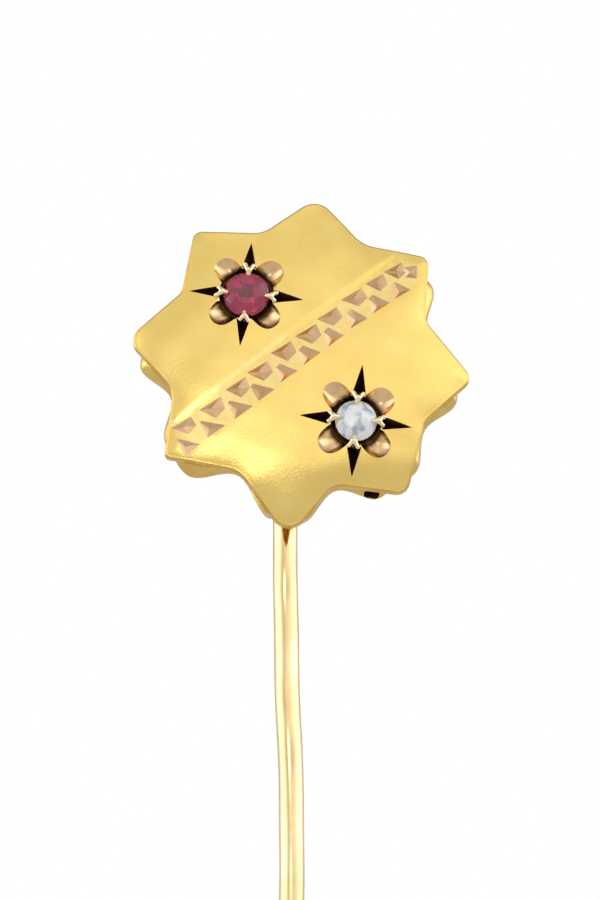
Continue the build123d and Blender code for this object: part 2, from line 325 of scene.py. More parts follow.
def height(p, carve=True):
    x, y = p[:, 0], p[:, 1]
    base = dome(x, y) + undulate(x, y) + edge_roll(outline_distance(p))
    u, v = (x + y) * S2, (y - x) * S2
    base = base + channel(u, v)
    z = base.copy()
    kind = np.zeros(len(p), int)
    m = band_mid(u)
    kind[(np.abs(v - m) < 0.60) & (np.abs(u) < 6.05)] = 4
    if not carve:
        return z, kind
    for _, cs, low, depth in PITS:
        n = len(cs)
        lz = dome(*low) - depth
        hit = polygon_mask(p, offset_loop(cs, -0.002)) if n > 2 else None
        if not hit.any():
            continue
        best = None
        for i in range(n):
            a, b = cs[i], cs[(i + 1) % n]
            za = height(np.array([a]), False)[0][0]
            zb = height(np.array([b]), False)[0][0]
            m = np.array([[a[0], a[1], 1], [b[0], b[1], 1], [low[0], low[1], 1]])
            c = np.linalg.solve(m, np.array([za, zb, lz]))
            pl = x * c[0] + y * c[1] + c[2]
            best = pl if best is None else np.maximum(best, pl)
        cut = hit & (best < z)
        z[cut] = best[cut]
        kind[hit] = 1
    for name, cx, cy, ang, out, wid in RAYS:
        rx, ry = x - cx, y - cy
        a = rx * math.cos(ang) + ry * math.sin(ang)
        b = -rx * math.sin(ang) + ry * math.cos(ang)
        t = (a - RAY_IN) / (out - RAY_IN)
        w = ray_half(t) * wid
        hit = (t > -0.02) & (t < 1) & (np.abs(b) < w)
        d = -ray_depth(t) * (1 - np.abs(b) / np.maximum(w, 1e-6))
        zz = base + d
        cut = hit & (zz < z)
        z[cut] = zz[cut]
        kind[hit] = 2
    for name, cx, cy, da, out, rho, deep in PETALS:
        dx, dy = x - cx, y - cy
        a = dx * math.cos(da) + dy * math.sin(da)      # outward
        b = -dx * math.sin(da) + dy * math.cos(da)
        t = out - a
        hit = (t > 0) & (a > 0.3) & (np.abs(b) < petal_half(t, rho, deep))
        d = petal_axis_depth(t, deep) - (rho - np.sqrt(np.clip(rho ** 2 - b ** 2, 0, None)))
        zz = base - np.clip(d, 0, None)
        cut = hit & (zz < z)
        z[cut] = zz[cut]
        kind[cut] = 3
    return z, kind


# --------------------------------------------------------------------------
# materials
def nodes_of(mat):
    nt = mat.node_tree
    return nt, nt.nodes, nt.links


def ramp(nodes, stops):
    r = nodes.new("ShaderNodeValToRGB")
    e = r.color_ramp.elements
    while len(e) > 1:
        e.remove(e[0])
    e[0].position, e[0].color = stops[0]
    for pos, col in stops[1:]:
        el = e.new(pos)
        el.color = col
    return r


def gold(name, cols, rough, metallic=1.0, noise_mm=0.9, grain_mm=0.05, grain=0.0,
         grain_dist=0.02, streak=None, rough_var=0.0, spec=None):
    """Metal with mottled colour, varied roughness and a fine bump."""
    m = bpy.data.materials.new(name)
    m.use_nodes = True
    nt, ns, ln = nodes_of(m)
    bsdf = ns["Principled BSDF"]
    bsdf.inputs["Metallic"].default_value = metallic
    tc = ns.new("ShaderNodeTexCoord")
    big = ns.new("ShaderNodeTexNoise")
    big.inputs["Scale"].default_value = 1000.0 / noise_mm
    big.inputs["Detail"].default_value = 5
    big.inputs["Roughness"].default_value = 0.6
    ln.new(tc.outputs["Object"], big.inputs["Vector"])
    r = ramp(ns, [(0.30, (*cols[0], 1)), (0.5, (*cols[1], 1)), (0.70, (*cols[2], 1))])
    ln.new(big.outputs["Fac"], r.inputs["Fac"])
    ln.new(r.outputs["Color"], bsdf.inputs["Base Color"])
    fine = ns.new("ShaderNodeTexNoise")
    fine.inputs["Scale"].default_value = 1000.0 / grain_mm
    fine.inputs["Detail"].default_value = 3
    fine.inputs["Roughness"].default_value = 0.65
    src = tc.outputs["Object"]
    if streak:
        mp = ns.new("ShaderNodeMapping")
        mp.inputs["Scale"].default_value = streak
        ln.new(src, mp.inputs["Vector"])
        src = mp.outputs["Vector"]
    ln.new(src, fine.inputs["Vector"])
    mr = ns.new("ShaderNodeMapRange")
    mr.inputs["From Min"].default_value = 0.3
    mr.inputs["From Max"].default_value = 0.7
    mr.inputs["To Min"].default_value = max(rough - rough_var, 0.02)
    mr.inputs["To Max"].default_value = rough + rough_var
    ln.new(fine.outputs["Fac"] if grain else big.outputs["Fac"], mr.inputs["Value"])
    ln.new(mr.outputs["Result"], bsdf.inputs["Roughness"])
    if grain:
        bp = ns.new("ShaderNodeBump")
        bp.inputs["Strength"].default_value = grain
        bp.inputs["Distance"].default_value = grain_dist * MM
        ln.new(fine.outputs["Fac"], bp.inputs["Height"])
        ln.new(bp.outputs["Normal"], bsdf.inputs["Normal"])
    return m


def srgb(r, g, b):
    f = lambda c: ((c / 255 + 0.055) / 1.055) ** 2.4 if c / 255 > 0.04045 else c / 255 / 12.92
    return (f(r), f(g), f(b))


M_BLOOM = gold("bloomed_gold", [srgb(245, 210, 117), srgb(249, 215, 124), srgb(252, 220, 131)],
               0.21, grain=0.6, grain_mm=0.10, grain_dist=0.0095, rough_var=0.03, noise_mm=1.4)
M_CUT = gold("bare_cut_gold", [srgb(214, 172, 124), srgb(226, 186, 140), srgb(236, 200, 158)],
             0.22, grain=0.35, grain_mm=0.06, grain_dist=0.004, rough_var=0.05, noise_mm=0.5)
M_RIDGE = gold("ridge_gold", [srgb(240, 206, 128), srgb(246, 216, 138), srgb(250, 222, 148)],
               0.30, grain=0.4, grain_mm=0.06, grain_dist=0.004, rough_var=0.05, noise_mm=0.4)
# dark brown metal for the rays; on the stone holes' walls and the collets' lower parts it is painted shade in the
# recess
M_DARK = gold("dark_rays_and_recess_shade", [srgb(58, 34, 14), srgb(78, 48, 22), srgb(110, 70, 34)],
              0.34, grain=0.5, grain_mm=0.06, grain_dist=0.006, rough_var=0.08, noise_mm=0.35)
M_PETAL = gold("scooped_petals", [srgb(222, 182, 128), srgb(236, 198, 146), srgb(246, 212, 162)],
               0.20, grain=0.3, grain_mm=0.08, grain_dist=0.005, rough_var=0.04, noise_mm=0.4)
M_RIM = gold("plate_rim", [srgb(214, 170, 84), srgb(228, 184, 96), srgb(240, 200, 116)],
             0.24, grain=0.3, grain_mm=0.07, grain_dist=0.010, rough_var=0.05, noise_mm=0.8)
M_POLISH = gold("gallery_gold", [srgb(216, 176, 92), srgb(228, 190, 108), srgb(240, 204, 124)],
                0.16, grain=0.25, grain_mm=0.12, grain_dist=0.004, rough_var=0.05, noise_mm=1.2)
M_BACK = gold("back_gold", [srgb(214, 172, 88), srgb(228, 188, 104), srgb(240, 202, 120)],
              0.27, grain=0.35, grain_mm=0.10, grain_dist=0.010, rough_var=0.07, noise_mm=1.6,
              streak=(0.25, 1.0, 3.0))
M_CLAW = gold("claw_gold", [srgb(242, 216, 172), srgb(250, 228, 188), srgb(254, 238, 206)],
              0.16, grain=0.3, grain_mm=0.07, grain_dist=0.010, rough_var=0.04, noise_mm=0.4)
M_WIRE = gold("wire_gold", [srgb(230, 198, 142), srgb(240, 212, 158), srgb(248, 226, 180)],
              0.12, grain=0.22, grain_mm=0.12, grain_dist=0.003, rough_var=0.04, noise_mm=2.0,
              streak=(1.0, 1.0, 0.12))


def gem(name, color, ior, rough=0.02, trans=1.0, spread=(0.3, 0.7)):
    m = bpy.data.materials.new(name)
    m.use_nodes = True
    nt, ns, ln = nodes_of(m)
    b = ns["Principled BSDF"]
    b.inputs["IOR"].default_value = ior
    b.inputs["Transmission Weight"].default_value = trans
    tc = ns.new("ShaderNodeTexCoord")
    n = ns.new("ShaderNodeTexNoise")
    n.inputs["Scale"].default_value = 1000.0 / 0.45
    n.inputs["Detail"].default_value = 4
    ln.new(tc.outputs["Object"], n.inputs["Vector"])
    r = ramp(ns, [(spread[0], (*color[0], 1)), (spread[1], (*color[1], 1))])
    ln.new(n.outputs["Fac"], r.inputs["Fac"])
    ln.new(r.outputs["Color"], b.inputs["Base Color"])
    mr = ns.new("ShaderNodeMapRange")
    mr.inputs["From Min"].default_value = 0.35
    mr.inputs["From Max"].default_value = 0.75
    mr.inputs["To Min"].default_value = rough
    mr.inputs["To Max"].default_value = rough + 0.05
    ln.new(n.outputs["Fac"], mr.inputs["Value"])
    ln.new(mr.outputs["Result"], b.inputs["Roughness"])
    return m


M_RUBY = gem("ruby_stone", [srgb(168, 14, 62), srgb(206, 34, 92)], 1.76, trans=0.80)
# painted reflection: the diamond gets a pale, mostly diffuse colour, mottled between blue-grey and white, to
# stand in for the light its facets reflect
M_DIAMOND = gem("diamond_stone", [srgb(178, 190, 208), srgb(255, 255, 255)], 1.9, trans=0.22, spread=(0.38, 0.50))
M_FOIL = gold("foil_back", [srgb(186, 196, 212), srgb(206, 214, 226), srgb(226, 232, 240)],
              0.30, grain=0.15, grain_mm=0.25, rough_var=0.05, noise_mm=0.6)

def add_painted_light(mat, attr, color, limit):
    """Mixes the base colour towards a given colour where the point attribute is high, with a ragged edge: painted
    shade with a dark colour, a painted highlight with a pale one.
    """
    nt, ns, ln = nodes_of(mat)
    b = ns["Principled BSDF"]
    link = b.inputs["Base Color"].links[0]
    src = link.from_socket
    at = ns.new("ShaderNodeAttribute")
    at.attribute_name = attr
    tc = ns.new("ShaderNodeTexCoord")
    n = ns.new("ShaderNodeTexNoise")
    n.inputs["Scale"].default_value = 1000.0 / 0.22
    n.inputs["Detail"].default_value = 4
    ln.new(tc.outputs["Object"], n.inputs["Vector"])
    ad = ns.new("ShaderNodeMath")
    ad.operation = "MULTIPLY_ADD"
    ln.new(n.outputs["Fac"], ad.inputs[0])
    ad.inputs[1].default_value = 0.5
    ln.new(at.outputs["Fac"], ad.inputs[2])
    mr = ns.new("ShaderNodeMapRange")
    mr.interpolation_type = "SMOOTHSTEP"
    ln.new(ad.outputs[0], mr.inputs["Value"])
    mr.inputs["From Min"].default_value = limit[0]
    mr.inputs["From Max"].default_value = limit[1]
    mx = ns.new("ShaderNodeMix")
    mx.data_type = "RGBA"
    ln.new(mr.outputs["Result"], mx.inputs[0])
    ln.new(src, mx.inputs[6])
    mx.inputs[7].default_value = (*color, 1)
    ln.new(mx.outputs[2], b.inputs["Base Color"])


# painted shade: the petals darken towards each stone's recess
add_painted_light(M_PETAL, "painted_recess_shade", srgb(64, 38, 18), (0.38, 1.15))
# painted highlight: a pale streak along the upper border of the band
add_painted_light(M_BLOOM, "bevel", srgb(254, 244, 186), (0.45, 1.25))
# painted shade: the dark rays darken further towards each stone's recess
add_painted_light(M_DARK, "painted_recess_shade", srgb(30, 16, 8), (0.30, 1.0))


# --------------------------------------------------------------------------
# star face
def star_face():
    full = OUTLINE
    E = 0.11
    inner = offset_loop(full, E)
    pts, edges, feats = [], [], []

    def add_line(ps, closed=False):
        i0 = len(pts)
        pts.extend([tuple(q) for q in ps])
        n = len(ps)
        for i in range(n if closed else n - 1):
            a, b = i0 + i, i0 + (i + 1) % n
            edges.append((a, b))
            feats.append((ps[i], ps[(i + 1) % n]))

    add_line(inner, True)
    outline_feats = len(feats)
    holes = []
    for name, (cx, cy, r) in STONES.items():
        n = 72
        loop = np.array([(cx + (r + HOLE_CLEAR) * math.cos(2 * math.pi * i / n),
                          cy + (r + HOLE_CLEAR) * math.sin(2 * math.pi * i / n)) for i in range(n)])
        holes.append(loop)
        add_line(loop, True)
    for _, cs, low, depth in PITS:
        add_line(cs, True)
        for c in cs:
            add_line([c, low])
    for name, cx, cy, ang, out, wid in RAYS:
        ca, sa = math.cos(ang), math.sin(ang)
        ts = np.linspace(0, 1, 15)
        for side in (-1, 0, 1):
            line = []
            for t in ts:
                a = RAY_IN + (out - RAY_IN) * t
                b = side * float(ray_half(t)) * wid
                line.append((cx + a * ca - b * sa, cy + a * sa + b * ca))
            add_line(line)
    petal_pts = []
    for name, cx, cy, da, out, rho, deep in PETALS:
        ca, sa = math.cos(da), math.sin(da)
        hole_r = STONES[name][2] + HOLE_CLEAR
        run = out - hole_r
        ts = run * np.linspace(0, 1, 19) ** 2
        for side in (1, -1):
            line = []
            for t in ts[(0 if side == 1 else 1):]:
                h = side * float(petal_half(t, rho, deep))
                a = out - t
                if math.hypot(a, h) < hole_r + 0.02:
                    continue
                line.append((cx + a * ca - h * sa, cy + a * sa + h * ca))
            if side == -1:
                line = [(cx + out * ca, cy + out * sa)] + line
            add_line(line)
        for t in np.linspace(0.035, 1.0, 17) * run:
            h = float(petal_half(t, rho, deep))
            a = out - t
            for f in np.linspace(-1, 1, 19)[1:-1]:
                if math.hypot(a, f * h) > hole_r + 0.02:
                    petal_pts.append((cx + a * ca - f * h * sa, cy + a * sa + f * h * ca))
    # bevel lines along the band
    us = np.linspace(-6.1, 6.0, 90)
    for dv in (0.83, 0.83 + 0.12, 0.83 + 0.24):
        line = np.array([from_uv(u, band_mid(u) + dv) for u in us])
        keep = polygon_mask(line, offset_loop(inner, 0.05))
        seg = [tuple(q) for q, k in zip(line, keep) if k]
        add_line(seg)
    # free points
    free = []
    step = 0.21
    for j in range(-40, 41):
        for i in range(-40, 41):
            free.append((i * step + (j % 2) * step / 2, j * step * 0.866))
    # closer near the rim
    free = np.array(free)
    free = free[polygon_mask(free, offset_loop(inner, 0.52))]
    ring1 = np.vstack([offset_loop(inner, d)[::k] for d, k in ((0.06, 1), (0.14, 2), (0.25, 2), (0.40, 3))])
    pf = np.array(petal_pts)
    dist = np.full(len(free), 9.0)
    for a, b in feats[outline_feats:]:
        dist = np.minimum(dist, segment_distance(free, a, b))
    _, kind = height(free)
    free = free[(dist > 0.055) & ((kind == 0) | (kind > 3))]
    dist = np.full(len(pf), 9.0)
    for a, b in feats[outline_feats:]:
        dist = np.minimum(dist, segment_distance(pf, a, b))
    pf = pf[dist > 0.012]
    keep1 = np.full(len(ring1), 9.0)
    for a, b in feats[outline_feats:]:
        keep1 = np.minimum(keep1, segment_distance(ring1, a, b))
    ring1 = ring1[keep1 > 0.05]
    allp = pts + [tuple(q) for q in free] + [tuple(q) for q in pf] + [tuple(q) for q in ring1]
    V, F, _ = cdt(allp, edges)
    cen = V[F].mean(1)
    ok = polygon_mask(cen, inner)
    for loop in holes:
        ok &= ~polygon_mask(cen, loop)
    F = F[ok]
    z, _ = height(V)
    _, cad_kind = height(cen[ok])
    # counter-clockwise, facing +z
    a, b, c = V[F[:, 0]], V[F[:, 1]], V[F[:, 2]]
    cross = (b[:, 0] - a[:, 0]) * (c[:, 1] - a[:, 1]) - (b[:, 1] - a[:, 1]) * (c[:, 0] - a[:, 0])
    F[cross < 0] = F[cross < 0][:, ::-1]
    verts = [(x, y, h) for (x, y), h in zip(V, z)]
    faces = [tuple(f) for f in F]
    fmat = [{0: 0, 1: 1, 2: 2, 3: 3, 4: 5}[k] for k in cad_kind]

    # boundary loops of the top sheet
    count = {}
    for f in faces:
        for i in range(3):
            count[(f[i], f[(i + 1) % 3])] = 1
    nxt = {a: b for (a, b) in count if (b, a) not in count}
    loops, seen = [], set()
    for s in nxt:
        if s in seen:
            continue
        loop, cur = [], s
        while cur not in seen:
            seen.add(cur)
            loop.append(cur)
            cur = nxt[cur]
        loops.append(loop)
    loops.sort(key=len, reverse=True)
    outer, hole_loops = loops[0], loops[1:]

    def bridge(la, lb, mat):
        n = len(la)
        for i in range(n):
            j = (i + 1) % n
            faces.append((la[j], la[i], lb[i], lb[j]))
            fmat.append(mat)

    # rounded rim, straight edge, then the underside
    o = np.array([verts[i][:2] for i in outer])
    prev = outer
    base = np.array([verts[i][2] for i in outer])
    base = np.minimum(base, dome(o[:, 0], o[:, 1]) + 0.03)
    for a in (18, 36, 54, 72, 90):
        r = math.radians(a)
        q = offset_loop(o, -E * math.sin(r))
        cur = []
        for (x, y), h in zip(q, base):
            cur.append(len(verts))
            verts.append((x, y, h - E * (1 - math.cos(r))))
        bridge(prev, cur, 4 if a > 30 else 0)
        prev = cur
    q = offset_loop(o, -E)
    for drop, inset in ((PLATE_T * 0.55, 0.0), (PLATE_T - 0.09, 0.0), (PLATE_T - 0.05, 0.02)):
        qq = offset_loop(o, -E + inset)
        cur = []
        for (x, y), h in zip(qq, base):
            cur.append(len(verts))
            verts.append((x, y, h - drop))
        bridge(prev, cur, 4)
        prev = cur
    # underside sheet
    under_outer = offset_loop(o, -E + 0.06)
    up, ue = [tuple(p) for p in under_outer], [(i, (i + 1) % len(o)) for i in range(len(o))]
    hole_in = []
    for loop in hole_loops:
        i0 = len(up)
        up.extend([verts[i][:2] for i in loop])
        ue.extend([(i0 + i, i0 + (i + 1) % len(loop)) for i in range(len(loop))])
        hole_in.append(i0)
    nb = len(up)
    gu = np.array([(i * 0.5, j * 0.5) for i in range(-14, 15) for j in range(-14, 15)])
    gu = gu[polygon_mask(gu, offset_loop(under_outer, 0.25))]
    for name, (cx, cy, r) in STONES.items():
        gu = gu[np.hypot(gu[:, 0] - cx, gu[:, 1] - cy) > r + 0.35]
    UV, UF, orig = cdt(up + [tuple(p) for p in gu], ue)
    cen = UV[UF].mean(1)
    ok = polygon_mask(cen, under_outer)
    for i0, loop in zip(hole_in, hole_loops):
        ok &= ~polygon_mask(cen, np.array(up[i0:i0 + len(loop)]))
    UF = UF[ok]
    a, b, c = UV[UF[:, 0]], UV[UF[:, 1]], UV[UF[:, 2]]
    cross = (b[:, 0] - a[:, 0]) * (c[:, 1] - a[:, 1]) - (b[:, 1] - a[:, 1]) * (c[:, 0] - a[:, 0])
    UF[cross > 0] = UF[cross > 0][:, ::-1]
    vbase = len(verts)
    where = {}
    for i, src in enumerate(orig):
        for s in src:
            where[s] = vbase + i
    for (x, y) in UV:
        verts.append((x, y, dome(x, y) - PLATE_T - 0.05))
    for f in UF:
        faces.append(tuple(vbase + f))
        fmat.append(4)
    bridge(prev, [where[i] for i in range(len(o))], 4)
    # painted shade: the walls of the stone holes take the dark material
    for i0, loop in zip(hole_in, hole_loops):
        bridge(loop, [where[i0 + i] for i in range(len(loop))], 2)
    # point attributes: painted shade round the stone recesses, and a painted highlight along the band's upper
    # border
    ob = new_object("star_face_sheet", verts, faces,
                    [M_BLOOM, M_CUT, M_DARK, M_PETAL, M_RIM, M_RIDGE], fmat, True, None,
                    attrs={"painted_recess_shade": recess_painted_shade(verts), "bevel": border_painted_highlight(verts)})
    bm = bmesh.new()
    bm.from_mesh(ob.data)
    bmesh.ops.remove_doubles(bm, verts=bm.verts, dist=1e-9)
    bmesh.ops.dissolve_degenerate(bm, edges=bm.edges, dist=1e-8)
    loose = [v for v in bm.verts if not v.link_faces]
    bmesh.ops.delete(bm, geom=loose, context="VERTS")
    bmesh.ops.recalc_face_normals(bm, faces=bm.faces)
    open_edges = sum(1 for e in bm.edges if len(e.link_faces) != 2)
    bm.to_mesh(ob.data)
    bm.free()
    ob.data.set_sharp_from_angle(angle=math.radians(16))
    print("star face", len(ob.data.vertices), "verts", len(ob.data.polygons), "faces, open edges", open_edges)
    return ob


def border_painted_highlight(verts):
    """Painted highlight: 1 on a pale strip along the border above the band, fading out past the middle."""
    p = np.array([v[:2] for v in verts])
    u, v = (p[:, 0] + p[:, 1]) * S2, (p[:, 1] - p[:, 0]) * S2
    d = v - band_mid(u) - 0.89
    top = np.array([q[2] for q in verts]) > dome(p[:, 0], p[:, 1]) - 0.2
    return np.clip(1.25 - np.abs(d) / 0.08, 0, 1) * np.clip((2.8 - u) / 3.2, 0, 1) * top


def recess_painted_shade(verts):
    """Painted shade mask: 1 close to a stone's recess, where shade falls, falling to 0 outwards along the petals.
    """
    p = np.array([v[:2] for v in verts])
    g = np.zeros(len(p))
    for name, (cx, cy, r) in STONES.items():
        d = np.hypot(p[:, 0] - cx, p[:, 1] - cy)
        g = np.maximum(g, np.clip((r + 0.52 - d) / 0.34, 0, 1))
    return g


face = star_face()
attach(face, "root")
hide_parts("star_face")

# --------------------------------------------------------------------------
# collets: signed distances on a grid, in millimetres round the stone's centre
def smin(a, b, k):
    h = np.clip(0.5 + 0.5 * (b - a) / k, 0, 1)
    return b * (1 - h) + a * h - k * h * (1 - h)


def capsule(P, a, b, ra, rb, sy=1.0):
    a, b = np.array(a, float), np.array(b, float)
    ab = b - a
    q = P - a
    t = np.clip((q @ ab) / (ab @ ab), 0, 1)
    d = q - t[..., None] * ab
    return np.sqrt((d ** 2).sum(-1)) - (ra + (rb - ra) * t)


def collet(name, stone_r, top, seed):
    r_ = np.random.RandomState(seed)
    vox = 0.024
    lo, hi = np.array([-1.75, -1.75, -1.22]), np.array([1.75, 1.75, 0.36])
    n = np.ceil((hi - lo) / vox).astype(int)
    g = np.stack(np.meshgrid(*[lo[i] + vox * np.arange(n[i]) for i in range(3)], indexing="ij"), -1)
    rad = np.hypot(g[..., 0], g[..., 1])
    # ring under the face
    tube = np.maximum(np.abs(rad - (stone_r + 0.06)) - 0.20, np.abs(g[..., 2] + 0.84) - 0.30)
    seat = np.maximum(np.abs(rad - (stone_r - 0.10)) - 0.14, np.abs(g[..., 2] + 0.66) - 0.16)
    d = smin(tube, seat, 0.05)
    for k in range(4):
        a = math.radians(90 * k + r_.uniform(-3, 3))
        ca, sa = math.cos(a), math.sin(a)
        P = np.stack([g[..., 0] * ca + g[..., 1] * sa, -g[..., 0] * sa + g[..., 1] * ca,
                      g[..., 2]], -1)
        s = r_.uniform(0.92, 1.08)
        tw = r_.uniform(-0.03, 0.03)
        e1, e2 = r_.uniform(0.22, 0.31), r_.uniform(0.20, 0.30)
        nose = capsule(P, (stone_r - 0.11, tw, top + 0.01), (stone_r + 0.06, 0, top + 0.04),
                       0.105 * s, 0.145 * s)
        arm1 = capsule(P, (stone_r + 0.06, 0.04, top + 0.03), (stone_r + e1, 0.19 * s, top - 0.02),
                       0.110 * s, 0.105)
        arm2 = capsule(P, (stone_r + 0.06, -0.04, top + 0.03), (stone_r + e2, -0.18 * s, top - 0.02),
                       0.110 * s, 0.095)
        leg = capsule(P, (stone_r + 0.05, 0, top), (stone_r + 0.05, 0, -0.75), 0.10, 0.12)
        web = capsule(P, (stone_r + 0.06, 0, top - 0.12), (stone_r + 0.20, 0, top - 0.24), 0.12, 0.08)
        c = smin(smin(arm1, arm2, 0.03), nose, 0.05)
        c = smin(c, smin(leg, web, 0.05), 0.05)
        d = smin(d, c, 0.03)
    grid = openvdb.FloatGrid(1.0)
    grid.copyFromArray((d / vox).astype(np.float32))
    p, q = grid.convertToQuads(0.0)
    p = p * vox + lo
    return p, q


def place_collet(name, node):
    cx, cy, r = STONES[name]
    zs = float(dome(cx, cy))
    p, q = collet(name, r, 0.02, 11 if name == "ruby" else 29)
    p = p + np.array([cx, cy, zs])
    # the round shape sits under the face's own surface
    zc = p[np.asarray(q)].mean(1)[:, 2] - zs
    # painted shade: the collet's part below the face takes the dark material
    ob = new_object(node + "_claws", p, [tuple(f[::-1]) for f in q], [M_CLAW, M_DARK],
                    np.where(zc < -0.20, 1, 0), True, None)
    recalc(ob)
    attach(ob, "root")
    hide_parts(node)
    print(node, len(ob.data.polygons), "faces")
    return ob


place_collet("ruby", "ruby_collet")
place_collet("diamond", "diamond_collet")


# --------------------------------------------------------------------------
# stones
def ring(r, z, n, phase=0.0, jitter=0.0):
    out = []
    for k in range(n):
        t = math.radians(phase + 360 * k / n) + rng.uniform(-jitter, jitter)
        rr = r * (1 + rng.uniform(-jitter, jitter))
        out.append((rr * math.cos(t), rr * math.sin(t), z + rng.uniform(-jitter, jitter) * 0.3))
    return out


def hull_object(name, pts, mats, tilt=(0, 0, 0), at=(0, 0, 0), mat_of=None):
    bm = bmesh.new()
    for p in pts:
        bm.verts.new(p)
    res = bmesh.ops.convex_hull(bm, input=bm.verts)
    dead = [e for e in res["geom_interior"] if isinstance(e, bmesh.types.BMVert)]
    bmesh.ops.delete(bm, geom=dead, context="VERTS")
    bmesh.ops.dissolve_limit(bm, angle_limit=math.radians(1.5), verts=bm.verts, edges=bm.edges)
    bmesh.ops.recalc_face_normals(bm, faces=bm.faces)
    me = bpy.data.meshes.new(name)
    for f in bm.faces:
        f.smooth = False
        if mat_of:
            f.material_index = mat_of(f)
    bm.to_mesh(me)
    bm.free()
    for m in mats:
        me.materials.append(m)
    me.transform(TO_WORLD @ Matrix.Translation(at) @ Euler([math.radians(t) for t in tilt]).to_matrix().to_4x4())
    ob = bpy.data.objects.new(name, me)
    bpy.context.scene.collection.objects.link(ob)
    return ob


cx, cy, r = STONES["ruby"]
zs = float(dome(cx, cy))
ruby_pts = (ring(r * 0.50, 0.27, 8, 20, 0.02) + ring(r * 0.80, 0.17, 8, 42, 0.02)
            + ring(r, 0.02, 24, 5, 0.002) + ring(r, -0.03, 24, 5, 0.002)
            + ring(r * 0.74, -0.30, 8, 20, 0.02) + ring(r * 0.34, -0.62, 8, 42, 0.03) + [(0, 0, -0.80)])
ruby = hull_object("ruby_faceted", ruby_pts, [M_RUBY], (2, -2, 0), (cx, cy, zs + GIRDLE_Z))
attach(ruby, "root")
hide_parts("ruby")

cx, cy, r = STONES["diamond"]
zs = float(dome(cx, cy))
dia_pts = ([(0.03, 0.02, 0.44)] + ring(r * 0.50, 0.33, 6, 8, 0.03) + ring(r * 0.80, 0.16, 6, 38, 0.02)
           + ring(r, 0.03, 24, 8, 0.002) + ring(r, -0.05, 24, 8, 0.002))
diamond = hull_object("diamond_rose", dia_pts, [M_DIAMOND, M_FOIL], (1.5, 1, 0), (cx, cy, zs + GIRDLE_Z),
                      lambda f: 1 if f.normal.z < -0.9 else 0)
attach(diamond, "root")
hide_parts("diamond")

# --------------------------------------------------------------------------
# gallery strip: the same lobed line as part.py, carried round smoothly
LOBES = [
    (0.05, 0.10, 0.92), (0.12, 0.28, 0.66), (0.12, 0.16, 0.68), (0.13, 0.13, 0.74),
    (-0.14, -0.16, 1.35), (0.38, 0.16, 0.50), (0.22, 0.08, 0.78), (-0.06, 0.04, 0.72),
]
WALL_BACK, BACK_T, WALL_T = -1.85, 0.25, 0.35


def ring_knots(shift, belly):
    pts = []
    P = [np.array(p) for p in STAR]
    for k, (bo, ao, flat) in enumerate(LOBES):
        i = 2 * k
        tip, before, after = P[i], P[i - 1], P[(i + 1) % 16]
        out = tip / np.hypot(*tip)

        def flank(base, grow):
            p = base + (tip - base) * 0.62
            d = tip - base
            side = np.array([d[1], -d[0]]) / np.hypot(*d)
            if side @ p < 0:
                side = -side
            return p + side * (grow * belly + shift)

        pts.append(flank(before, bo))
        pts.append(tip - out * (flat - 0.5 * (bo + ao) * belly * 0.3 - shift))
        pts.append(flank(after, ao))
        nxt = LOBES[(k + 1) % 8][0]
        pts.append(after + after / np.hypot(*after) * (0.6 * min(ao, 0.5) * belly + 0.1 * nxt * belly + shift))
    return np.array(pts)


def closed_spline(K, per=9):
    """Smooth closed curve through the knots, spaced by chord length."""
    n = len(K)
    h = np.hypot(*(np.roll(K, -1, 0) - K).T)
    A = np.zeros((n, n))
    B = np.zeros((n, 2))
    for i in range(n):
        hp, hn = h[i - 1], h[i]
        A[i, (i - 1) % n] += hp
        A[i, i] += 2 * (hp + hn)
        A[i, (i + 1) % n] += hn
        B[i] = 6 * ((K[(i + 1) % n] - K[i]) / hn - (K[i] - K[i - 1]) / hp)
    M = np.linalg.solve(A, B)
    out = []
    for i in range(n):
        j = (i + 1) % n
        for k in range(per):
            t = h[i] * k / per
            u = h[i] - t
            out.append(M[i] * u ** 3 / (6 * h[i]) + M[j] * t ** 3 / (6 * h[i])
                       + (K[i] / h[i] - M[i] * h[i] / 6) * u + (K[j] / h[i] - M[j] * h[i] / 6) * t)
    return np.array(out)


PROF = [(-0.62, -0.100, 0.00), (-0.82, -0.050, 0.62), (-1.15, 0.0, 1.0), (-1.50, -0.065, 0.80),
        (-1.85, -0.26, 0.25)]


